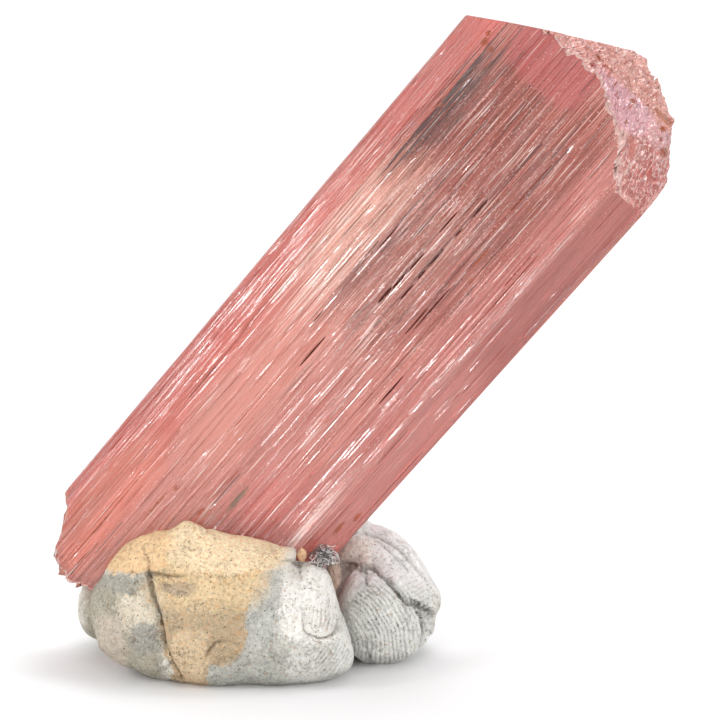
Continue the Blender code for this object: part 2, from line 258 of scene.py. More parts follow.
def crystalRings():
    broadRng = random.Random(crystal["broadSeed"])
    fineRng = random.Random(crystal["fineSeed"])
    heights = np.linspace(crystal["bottom"], crystal["top"], crystal["fineRings"])
    broadHeights = np.linspace(crystal["bottom"], crystal["top"], crystal["broadRings"])
    section = crystal["section"]
    columns = []
    for index, (x, y, broadCount, fineCount) in enumerate(section):
        corner = Vector((x, y))
        side = Vector(section[(index + 1) % len(section)][:2]) - corner
        along = side.normalized()
        outward = Vector((along.y, -along.x))
        for start, end, depths in broadLedges(side.length, broadCount, broadRng):
            broad = np.interp(heights, broadHeights, depths) * crystal["broadShare"]
            share = (end - start) / side.length
            ledgeCount = max(1, round(fineCount * share))
            widths = [fineRng.uniform(*crystal["fineWidths"]) ** 2 for _ in range(ledgeCount)]
            scale = (end - start) / sum(widths)
            at = start
            for width in widths:
                width *= scale
                wall = min(crystal["fineWall"], width / 4)
                depth = broad + fineRun(fineRng, len(heights), crystal["fineDepth"])
                tilt = fineRng.gauss(0.0, crystal["fineTilt"]) * width / 2
                for distance, lift in ((at + wall, tilt), (at + width - wall, -tilt)):
                    flat = corner + along * distance
                    inward = depth + lift
                    columns.append((flat.x - outward.x * inward, flat.y - outward.y * inward))
                at += width
    x = np.array([column[0] for column in columns]).T * wideningAt(heights)[:, None]
    y = np.array([column[1] for column in columns]).T
    z = np.repeat(heights[:, None], x.shape[1], axis=1)
    return np.stack((x, y, z), axis=2)


def prismThrough(rings):
    # a circle is extruded ring by ring, and then each point goes to its own place
    ringCount, pointCount = rings.shape[:2]
    bpy.ops.mesh.primitive_circle_add(vertices=pointCount, radius=10.0, fill_type="NGON")
    prism = bpy.context.object
    with editing():
        for _ in range(ringCount - 1):
            extrudeUp()
    points = pointsOf(prism)
    turn = np.arctan2(points[:, 1], points[:, 0]) / (2 * math.pi) * pointCount
    column = np.round(turn).astype(int) % pointCount
    ring = np.round(points[:, 2]).astype(int)
    setPoints(prism, rings[ring, column])
    return turnOutward(prism)


def planeHeight(at, rise, x, y):
    return at[2] + rise[0] * (x - at[0]) + rise[1] * (y - at[1])


def shingles(x, y, size, tilt, seed):
    # little plates, each tipped its own way, as an etched surface breaks up
    rng = np.random.default_rng(seed)
    (wide, high), length = crystal["plateField"], crystal["plateLength"]
    seeds = []
    for column in range(int(wide / size)):
        for row in range(int(high / (size * length))):
            shiftX, shiftY = rng.uniform(-0.5, 0.5, 2)
            seeds.append(((column + shiftX) * size - wide / 2, (row + shiftY) * size * length - high / 2))
    seeds = np.array(seeds)
    lift = rng.uniform(-1, 1, len(seeds))
    tip = rng.normal(0, tilt, (len(seeds), 2))
    tree = kdtree.KDTree(len(seeds))
    for index, (sx, sy) in enumerate(seeds):
        tree.insert((sx, sy / length, 0), index)
    tree.balance()
    height = np.empty(len(x))
    for index in range(len(x)):
        near = tree.find((x[index], y[index] / length, 0))[1]
        dx, dy = x[index] - seeds[near][0], y[index] - seeds[near][1]
        raised = lift[near] * crystal["plateLift"] * size
        height[index] = raised + tip[near][0] * dx + tip[near][1] * dy
    return height


def etchedHeight(x, y):
    smooth = np.min([planeHeight(*plane, x, y) for plane in crystal["etchedPlanes"]], axis=0)
    broad = [
        0.6 * noise.cell(Vector((px * 0.7, py * 0.5, 3.1)))
        + 0.9 * noise.noise(Vector((px * 1.6, py * 1.6, 9.7)))
        - 0.3
        for px, py in zip(x, y)
    ]
    plates = shingles(x, y, *crystal["tipPlates"])
    return smooth + crystal["etchedRelief"] * np.array(broad) + plates


def footHeight(x, y):
    profile = np.array(crystal["footProfile"])
    height = np.interp(x, profile[:, 0], profile[:, 1]) + 0.05 * np.abs(y)
    crumb = np.array([noise.noise(Vector((px * 0.9, py * 0.9, 5.3))) for px, py in zip(x, y)])
    plates = shingles(x, y, *crystal["footPlates"])
    return height + crystal["footRelief"] * 1.6 * crumb + plates


def roughBlock(heightAt, farEnd):
    # a grid whose points follow the rough surface, extruded to a flat far side
    halfX, halfY, cell = *crystal["roughHalf"], crystal["roughCell"]
    bpy.ops.mesh.primitive_grid_add(
        x_subdivisions=round(2 * halfX / cell), y_subdivisions=round(2 * halfY / cell), size=2.0
    )
    block = bpy.context.object
    points = pointsOf(block) * (halfX, halfY, 1.0)
    points[:, 2] = heightAt(points[:, 0], points[:, 1])
    setPoints(block, points)
    with editing():
        extrudeUp()
    points = pointsOf(block)
    moved = np.zeros(len(points), dtype=bool)
    block.data.vertices.foreach_get("select", moved)
    points[moved, 2] = farEnd
    setPoints(block, points)
    return turnOutward(block)


def channelTool():
    tools = []
    for channels, y in ((crystal["frontChannels"], -6.0), (crystal["backChannels"], 6.0)):
        for x, height, halfLength, halfWidth in channels:
            bpy.ops.mesh.primitive_uv_sphere_add(
                segments=12,
                ring_count=14,
                radius=1.0,
                location=(x * wideningAt(height), y * 0.985, height),
                scale=(halfWidth, crystal["channelDepth"], halfLength),
            )
            tools.append(bpy.context.object)
    return joinAll(tools)


def smoothFaceTool():
    up = Vector(crystal["smoothFace"]["normal"]).normalized()
    centre = Vector(crystal["smoothFace"]["at"]) + up * 30.0
    bpy.ops.mesh.primitive_cube_add(
        size=60.0, location=centre, rotation=up.to_track_quat("Z", "Y").to_euler()
    )
    return settle()


def makeCrystal(material):
    piece = prismThrough(crystalRings())
    cutAway(piece, smoothFaceTool())
    cutAway(piece, roughBlock(etchedHeight, crystal["top"] + 12))
    cutAway(piece, roughBlock(footHeight, crystal["bottom"] - 6))
    cutAway(piece, channelTool())
    toMetres(piece, crystalPose())
    finishPiece(piece, "crystal_striated", material)
    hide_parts("kunzite_crystal")


# Materials
def feed(node, inputs):
    for key, value in inputs.items():
        if isinstance(value, bpy.types.NodeSocket):
            node.id_data.links.new(value, node.inputs[key])
        else:
            node.inputs[key].default_value = value
    return node


def newNode(tree, kind, inputs=None, **settings):
    node = tree.nodes.new("ShaderNode" + kind)
    for name, value in settings.items():
        setattr(node, name, value)
    return feed(node, inputs or {})


def nextNode(kind, inputs, **settings):
    # a node in the tree of the sockets that feed it
    tree = next(value.id_data for value in inputs.values() if isinstance(value, bpy.types.NodeSocket))
    return newNode(tree, kind, inputs, **settings)


def mathOf(operation, *values):
    return nextNode("Math", dict(enumerate(values)), operation=operation).outputs[0]


def times(value, factor):
    return mathOf("MULTIPLY", value, factor)


def timesPlus(value, factor, added):
    return mathOf("MULTIPLY_ADD", value, factor, added)


def rangeOf(value, low, high, start=0.0, end=1.0):
    inputs = {"Value": value, "From Min": low, "From Max": high, "To Min": start, "To Max": end}
    return nextNode("MapRange", inputs, interpolation_type="SMOOTHSTEP").outputs[0]


def mixOf(factor, first, second, blend="MIX"):
    inputs = {0: factor, 6: first, 7: second}
    return nextNode("Mix", inputs, data_type="RGBA", blend_type=blend).outputs[2]


def scaledBy(vector, scale):
    inputs = {0: vector, "Scale": scale}
    return nextNode("VectorMath", inputs, operation="SCALE").outputs[0]


def noiseOf(place, size, detail=2.0, roughness=0.5, dimensions="3D"):
    inputs = {"Vector": place, "Scale": size, "Detail": detail, "Roughness": roughness}
    return nextNode("TexNoise", inputs, noise_dimensions=dimensions).outputs[0]


def linear(red, green, blue):
    # an sRGB colour of 0 to 255 as the shader takes it
    return tuple(((c / 255 + 0.055) / 1.055) ** 2.4 for c in (red, green, blue)) + (1.0,)


def newMaterial(name):
    material = bpy.data.materials.new(name)
    material.use_nodes = True
    tree = material.node_tree
    return material, tree, tree.nodes["Principled BSDF"]


# Colours, in sRGB, and streaks of the crystal. Streaks are (contrast, pale lines, dark lines). A patch
# has its middle (x, z), half sizes, soft rim, colour, streaks, and whether it frays into long fingers.
# the pale lines of the streaks are painted glints, the highlights of fine steps
kunzite = {
    "colour": (222, 154, 141),
    "streaks": (0.5, 0.35, 0.12),
    "transmission": 0.6,
    "ior": 1.66,
    "roughness": (0.08, 0.22),
    "facetDepth": 0.00003,
    "absorbed": linear(240, 160, 146),
    "density": 31.0,
    "warming": (0.95, 0.86, 0.83, 1.0),
    # the place unrolled: how it runs on over the bevels, how far the back lies from the front, how the
    # rough ends slant, and how much a face has to look along the crystal, or to the front, to count
    "bevelRun": (-0.9, 5.4),
    "backApart": 50.0,
    "endSlant": 0.6,
    "endFacing": 0.3,
    "frontFacing": 0.85,
    # how many to a millimetre of each pattern: across and along the faces, and on the rough ends
    "strands": ((6.5, 0.07), 2.4),
    "grit": ((8.0, 4.5), 6.0),
    "broadBands": ((1.5, 0.06), 0.8),
    "dots": ((4.0, 3.0), 3.0),
    "strips": (8.0, 0.24, 0.0),
    "stripBend": 0.16,
    "wander": 0.6,
    "fray": 30.0,
    # how much the strands, grit, bands and strips lighten the stone, and what is taken off for them
    "streakMix": (1.8, 0.9, 0.7, 0.3, -1.77),
    "shade": 0.98,
    # marks: how the streaks' number moves the threshold of the strands, and where they start and are
    # full; how it moves that of the dashes; the same of the dots, and their outer and inner radius
    # the pale marks are painted glints, the dark marks are dark lines and dots
    "glintMarks": ((-0.12, 0.79, 0.85), -0.08, (-0.12, 0.24, 0.1)),
    "darkMarks": ((0.12, 0.25, 0.2), -0.06, (-0.06, 0.28, 0.14)),
    "glintStrength": 0.85,
    "lineStrength": 0.7,
    "endLineStrength": 0.25,
    # the floors of the etched channels, painted dark as shade: half the crystal's depth there, and its half
    # width
    "channelRim": (5.84, 5.7),
    "channelFloor": 5.3,
    "channelReach": 8.2,
    "channelShadeStrength": 0.9,
    "glint": (255, 240, 230),
    "line": (58, 36, 34),
    "patches": (
        ((-11.5, 30.0), (1.8, 46.0), 0.12, (226, 128, 119), (0.6, 1.2, 0.05), False),
        ((-11.4, 64.0), (1.7, 9.5), 0.5, (246, 146, 138), (0.5, 0.8, 0.05), False),
        ((-8.7, 21.0), (1.2, 18.0), 0.4, (226, 131, 118), (0.5, 0.1, 0.05), False),
        ((-8.4, 7.0), (2.4, 9.0), 0.5, (238, 152, 134), (0.5, 0.4, 0.1), False),
        ((-5.0, 28.0), (3.2, 11.0), 0.6, (234, 166, 151), (0.3, 0.1, 0.02), False),
        ((1.5, 24.0), (3.0, 10.0), 0.6, (212, 142, 131), (0.5, 0.5, 0.1), True),
        # darker brown: painted shade of the darker surroundings seen through the stone
        ((-1.6, 58.5), (8.4, 12.0), 0.3, (180, 99, 83), (1.1, 1.4, 0.6), True),
        ((0.6, 45.5), (4.2, 8.5), 0.4, (196, 132, 118), (1.1, 1.3, 0.9), True),
        ((3.4, 46.0), (1.5, 8.0), 0.5, (190, 116, 103), (1.0, 0.5, 0.8), True),
        ((-4.4, 46.0), (0.9, 9.5), 0.5, (186, 128, 116), (1.2, 0.6, 1.2), True),
        ((-7.7, 46.0), (2.5, 8.6), 0.2, (255, 198, 178), (0.95, 2.0, 0.12), True),
        ((7.4, 42.0), (2.0, 26.0), 0.5, (210, 136, 127), (0.7, 0.5, 0.05), False),
        ((11.0, 42.0), (1.8, 40.0), 0.15, (196, 120, 112), (0.5, 0.1, 0.2), False),
        ((11.0, 30.0), (1.6, 13.0), 0.5, (225, 154, 146), (0.4, 0.2, 0.1), False),
        # deeper pink where the crystal comes near the tack: painted shade
        ((4.4, 15.5), (3.6, 6.0), 0.6, (222, 134, 125), (0.7, 0.5, 0.05), True),
        ((8.4, 21.0), (0.8, 5.5), 0.6, (250, 202, 194), (0.8, 2.6, 0.0), True),
        ((8.9, 44.0), (0.4, 24.0), 0.5, (228, 160, 152), (0.8, 1.4, 0.0), False),
        # deeper pink at the top of the front face: a painted reflection
        ((-3.6, 70.8), (4.9, 3.6), 0.3, (204, 108, 104), (0.6, 0.5, 0.1), False),
    ),
    # dark streaks along the left edge of the broad front face, which they don't pass
    # painted refraction: the bevel's own dark lines as they show through the front face
    "refractedEdgeBand": (
        ((-8.2, 59.6), (1.5, 7.2), 0.3, (158, 98, 85), (1.2, 0.6, 1.6), False),
        ((-9.4, 59.8), (1.1, 6.9), 0.15, (108, 66, 56), (1.2, 0.5, 4.0), False),
    ),
    # the rough ends: colour, patches as above, and the bright rim where the top meets the front
    "endColour": (250, 196, 186),
    "endPatches": (
        ((4.0, 71.5), (4.2, 1.7), 0.35, (255, 214, 234), (0.8, 1.6, 0.05), False),
        ((9.6, 71.5), (1.4, 1.2), 0.4, (250, 204, 212), (0.8, 1.6, 0.1), False),
        ((9.6, 67.9), (3.2, 2.7), 0.25, (226, 146, 142), (1.0, 2.2, 0.2), False),
        ((8.7, 73.5), (1.3, 0.3), 0.5, (196, 132, 96), (0.8, 0.5, 0.2), False),
        ((-7.0, 1.0), (9.0, 9.0), 0.2, (238, 180, 156), (0.8, 0.3, 0.2), False),
    ),
    "endStreaks": (0.9, 1.5, 0.1),
    # the bright rim and its colour are a painted highlight along that edge
    "rim": (-4.6, -5.6),
    "rimHighlightColour": (255, 232, 224),
    # stains: x, z, half width, half length
    "stainRim": 0.4,
    "rustColour": (168, 70, 4),
    "oliveColour": (118, 100, 64),
    "olive": ((1.2, 16.9, 0.26, 1.5),),
    "rust": (
        (-10.15, 67.4, 0.32, 0.42), (-10.4, 68.3, 0.24, 0.28), (-9.3, 67.2, 0.28, 0.32),
        (-9.4, 59.8, 0.18, 0.3), (4.27, 48.6, 0.2, 0.4), (3.68, 51.0, 0.14, 1.3),
        (4.2, 58.1, 0.07, 0.9), (-4.2, 13.8, 0.2, 0.28), (-4.6, 11.0, 0.09, 2.2),
        (-0.8, 13.6, 0.2, 0.4), (1.45, 14.6, 0.12, 1.1), (10.85, 21.2, 0.2, 0.9),
        (11.5, 23.2, 0.2, 0.5), (10.9, 70.8, 0.5, 0.5), (9.36, 72.6, 0.34, 0.28),
        (-0.3, 73.7, 0.55, 0.16), (1.2, 73.55, 0.5, 0.16), (5.1, 72.7, 0.34, 0.22),
    ),
}


def vectorMathOf(operation, *values, output=0):
    return nextNode("VectorMath", dict(enumerate(values)), operation=operation).outputs[output]


def centredOf(place, x, z, halfX, halfZ):
    # the place measured from an oval's middle, in its half sizes
    stretch = (1 / halfX, 0.0, 1 / halfZ)
    return vectorMathOf("MULTIPLY_ADD", place, stretch, (-x / halfX, 0.0, -z / halfZ))


def patchMask(place, at, half, rim):
    # 1 inside a rounded box, fading over its rim
    flat = centredOf(place, *at, *half)
    squared = vectorMathOf("MULTIPLY", flat, flat)
    reach = vectorMathOf("LENGTH", squared, output="Value")
    return rangeOf(reach, 1.0 + rim, 1.0 - rim)


def spotMask(place, spots, rim):
    # 1 on any of many small ovals, from the nearest one's reach
    nearest = None
    for spot in spots:
        reach = vectorMathOf("LENGTH", centredOf(place, *spot), output="Value")
        nearest = reach if nearest is None else mathOf("MINIMUM", nearest, reach)
    return rangeOf(nearest, 1.0 + rim, 1.0 - rim)


def shiftedBy(place, x, z):
    shift = nextNode("CombineXYZ", {0: x, 2: z}).outputs[0]
    return vectorMathOf("ADD", place, shift)


def crystalPlaces(tree):
    # the place in the crystal, whether it is on the broad front face, the place unrolled round the
    # faces, the same over the rough ends, and where those are
    pose = crystalPose()
    inputs = {
        "Vector": newNode(tree, "TexCoord").outputs["Object"],
        "Location": pose.translation * mm,
        "Rotation": pose.to_euler(),
        "Scale": (mm, mm, mm),
    }
    place = nextNode("Mapping", inputs, vector_type="TEXTURE").outputs[0]
    x, y, z = nextNode("SeparateXYZ", {0: place}).outputs
    depth = mathOf("ABSOLUTE", y)
    bevelRun = timesPlus(depth, *kunzite["bevelRun"])
    across = timesPlus(mathOf("SIGN", x), bevelRun, x)
    across = timesPlus(mathOf("SIGN", y), kunzite["backApart"], across)
    unrolled = nextNode("CombineXYZ", {0: across, 1: z}).outputs[0]
    endRun = timesPlus(z, kunzite["endSlant"], y)
    ends = nextNode("CombineXYZ", {0: x, 1: endRun}).outputs[0]
    axis = pose.to_3x3() @ Vector((0.0, 0.0, 1.0))
    normal = newNode(tree, "NewGeometry").outputs["True Normal"]
    along = mathOf("ABSOLUTE", vectorMathOf("DOT_PRODUCT", normal, axis, output="Value"))
    onEnd = mathOf("GREATER_THAN", along, kunzite["endFacing"])
    toFront = pose.to_3x3() @ Vector((0.0, -1.0, 0.0))
    facing = vectorMathOf("DOT_PRODUCT", normal, toFront, output="Value")
    onFront = mathOf("GREATER_THAN", facing, kunzite["frontFacing"])
    return place, x, y, onFront, unrolled, ends, onEnd


def grainedPlace(places, stretch, grain):
    # long grain on the faces, even grain on the rough ends
    unrolled, ends, onEnd = places
    long = vectorMathOf("MULTIPLY", unrolled, (*stretch, 0.0))
    inputs = {0: onEnd, 4: long, 5: scaledBy(ends, grain)}
    return nextNode("Mix", inputs, data_type="VECTOR").outputs[1]


def flatNoise(place, detail, roughness=0.55):
    return noiseOf(place, 1.0, detail, roughness, "2D")


def flatCells(place):
    return nextNode("TexVoronoi", {"Vector": place, "Scale": 1.0}, voronoi_dimensions="2D")


def stripCells(place):
    # straight strips one unit wide, cut at random heights: the random values of each piece of strip,
    # the place across it from its middle, and how near its ends are
    u, v, _ = nextNode("SeparateXYZ", {0: place}).outputs
    column = mathOf("FLOOR", u)
    inputs = {"W": column}
    start = nextNode("TexWhiteNoise", inputs, noise_dimensions="1D").outputs[0]
    run = timesPlus(start, 37.0, v)
    row = mathOf("FLOOR", run)
    cell = nextNode("CombineXYZ", {0: column, 1: row}).outputs[0]
    inputs = {"Vector": cell}
    picks = nextNode("TexWhiteNoise", inputs, noise_dimensions="2D").outputs["Color"]
    picks = nextNode("SeparateColor", {0: picks}).outputs
    across = mathOf("SUBTRACT", mathOf("SUBTRACT", u, column), 0.5)
    fromEnds = mathOf("PINGPONG", run, 0.5)
    return picks, across, fromEnds


def patchedOver(colour, habit, patches, near, frayed, within=None):
    for at, half, rim, tint, streaks, isFrayed in patches:
        mask = patchMask(frayed if isFrayed else near, at, half, rim)
        if within is not None:
            mask = times(mask, within)
        colour = mixOf(mask, colour, linear(*tint))
        habit = mixOf(mask, habit, (*streaks, 1.0))
    return colour, habit


def marksOf(amount, marks, field, dashPick, dashShape, dotPick, dotReach):
    # marks on the strands, dashes and dots, the more of them the higher the streaks' number is
    (slope, start, full), dashSlope, (dotSlope, outer, inner) = marks
    strands = rangeOf(field, timesPlus(amount, slope, start), timesPlus(amount, slope, full))
    dashes = mathOf("GREATER_THAN", dashPick, timesPlus(amount, dashSlope, 1.0))
    chosen = mathOf("GREATER_THAN", dotPick, timesPlus(amount, dotSlope, 1.0))
    dots = times(rangeOf(dotReach, outer, inner), chosen)
    return mathOf("MAXIMUM", mathOf("MAXIMUM", strands, dots), times(dashes, dashShape))


def kunziteMaterial():
    material, tree, shader = newMaterial("Kunzite, striated")
    place, x, y, onFront, *grained = crystalPlaces(tree)
    onEnd = grained[2]
    strands = flatNoise(grainedPlace(grained, *kunzite["strands"]), 3.0, 0.7)
    grit = flatNoise(grainedPlace(grained, *kunzite["grit"]), 1.0)
    broad = flatNoise(grainedPlace(grained, *kunzite["broadBands"]), 2.0)
    bend = timesPlus(broad, kunzite["stripBend"], -kunzite["stripBend"] / 2)
    strips = vectorMathOf("MULTIPLY", shiftedBy(grained[0], bend, 0.0), kunzite["strips"])
    dashRandoms, dashAcross, dashFromEnds = stripCells(strips)
    dotPlace = grainedPlace(grained, *kunzite["dots"])
    dots = flatCells(dotPlace)
    dotRandoms = nextNode("SeparateColor", {0: dots.outputs["Color"]}).outputs

    wander = timesPlus(grit, kunzite["wander"], -kunzite["wander"] / 2)
    near = shiftedBy(place, wander, wander)
    fingers = timesPlus(strands, kunzite["fray"], -kunzite["fray"] / 2)
    frayed = shiftedBy(near, wander, fingers)
    habit = (*kunzite["streaks"], 1.0)
    colour, habit = patchedOver(linear(*kunzite["colour"]), habit, kunzite["patches"], near, frayed)
    # painted refraction of the bevel's dark lines, kept to the front face
    colour, habit = patchedOver(colour, habit, kunzite["refractedEdgeBand"], frayed, frayed, onFront)
    endHabit = (*kunzite["endStreaks"], 1.0)
    endColour, endHabit = patchedOver(
        linear(*kunzite["endColour"]), endHabit, kunzite["endPatches"], near, frayed
    )
    # painted highlight: the bright rim where the rough top meets the front face
    rim = timesPlus(wander, 1.2, y)
    endColour = mixOf(rangeOf(rim, *kunzite["rim"]), endColour, linear(*kunzite["rimHighlightColour"]))
    colour = mixOf(onEnd, colour, endColour)
    habit = mixOf(onEnd, habit, endHabit)
    contrast, glints, lines = nextNode("SeparateColor", {0: habit}).outputs[:3]

    *shares, streak = kunzite["streakMix"]
    stripShade = mathOf("POWER", dashRandoms[2], 4.0)
    for pattern, share in zip((strands, grit, broad, stripShade), shares):
        streak = timesPlus(pattern, share, streak)
    colour = mixOf(1.0, colour, kunzite["warming"], blend="MULTIPLY")
    colour = scaledBy(colour, timesPlus(streak, contrast, kunzite["shade"]))

    field = timesPlus(grit, 0.3, mathOf("SUBTRACT", strands, 0.15))
    reach = dots.outputs["Distance"]
    dark = marksOf(lines, kunzite["darkMarks"], field, dashRandoms[1], 1.0, dotRandoms[1], reach)
    depth = mathOf("ABSOLUTE", y)
    # painted shade on the floors of the etched channels, in the colour of the dark lines
    channelShade = rangeOf(depth, *kunzite["channelRim"])
    channelShade = times(channelShade, mathOf("GREATER_THAN", depth, kunzite["channelFloor"]))
    inside = mathOf("LESS_THAN", mathOf("ABSOLUTE", x), kunzite["channelReach"])
    channelShade = times(channelShade, mathOf("GREATER_THAN", inside, onEnd))
    # the rough ends have only faint dark marks
    fainter = kunzite["endLineStrength"] - kunzite["lineStrength"]
    strength = timesPlus(onEnd, fainter, kunzite["lineStrength"])
    dark = times(dark, strength)
    dark = mathOf("MAXIMUM", dark, times(channelShade, kunzite["channelShadeStrength"]))
    colour = mixOf(dark, colour, linear(*kunzite["line"]))

    # painted glints: pale dashes are slender needles, some finer than others
    width = times(dashFromEnds, timesPlus(dashRandoms[1], 0.9, 0.3))
    slender = mathOf("LESS_THAN", mathOf("ABSOLUTE", dashAcross), width)
    paintedGlints = marksOf(glints, kunzite["glintMarks"], field, dashRandoms[0], slender, dotRandoms[0], reach)
    paintedGlints = times(paintedGlints, kunzite["glintStrength"])
    colour = mixOf(paintedGlints, colour, linear(*kunzite["glint"]))

    for stain in ("rust", "olive"):
        mask = spotMask(near, kunzite[stain], kunzite["stainRim"])
        colour = mixOf(mask, colour, linear(*kunzite[stain + "Colour"]))

    # each strip, and each cell of the rough ends, leans its own way
    offset = vectorMathOf("SUBTRACT", dotPlace, dots.outputs["Position"])
    endAcross = vectorMathOf("DOT_PRODUCT", offset, (0.5, 0.25, 0.0), output="Value")
    across = nextNode("Mix", {0: onEnd, 2: dashAcross, 3: endAcross}).outputs[0]
    pick = nextNode("Mix", {0: onEnd, 2: dashRandoms[2], 3: dotRandoms[2]}).outputs[0]
    tilt = timesPlus(pick, 2.0, -1.0)
    inputs = {
        "Strength": mathOf("MINIMUM", mathOf("POWER", contrast, 2.0), 1.0),
        "Distance": kunzite["facetDepth"],
        "Height": times(across, tilt),
    }
    looks = {
        "Base Color": colour,
        "Roughness": rangeOf(grit, 0.35, 0.65, *kunzite["roughness"]),
        "Normal": nextNode("Bump", inputs).outputs[0],
        "IOR": kunzite["ior"],
        "Transmission Weight": kunzite["transmission"],
    }
    feed(shader, looks)
    inputs = {"Color": kunzite["absorbed"], "Density": kunzite["density"]}
    volume = newNode(tree, "VolumeAbsorption", inputs).outputs[0]
    feed(tree.nodes["Material Output"], {"Volume": volume})
    return material


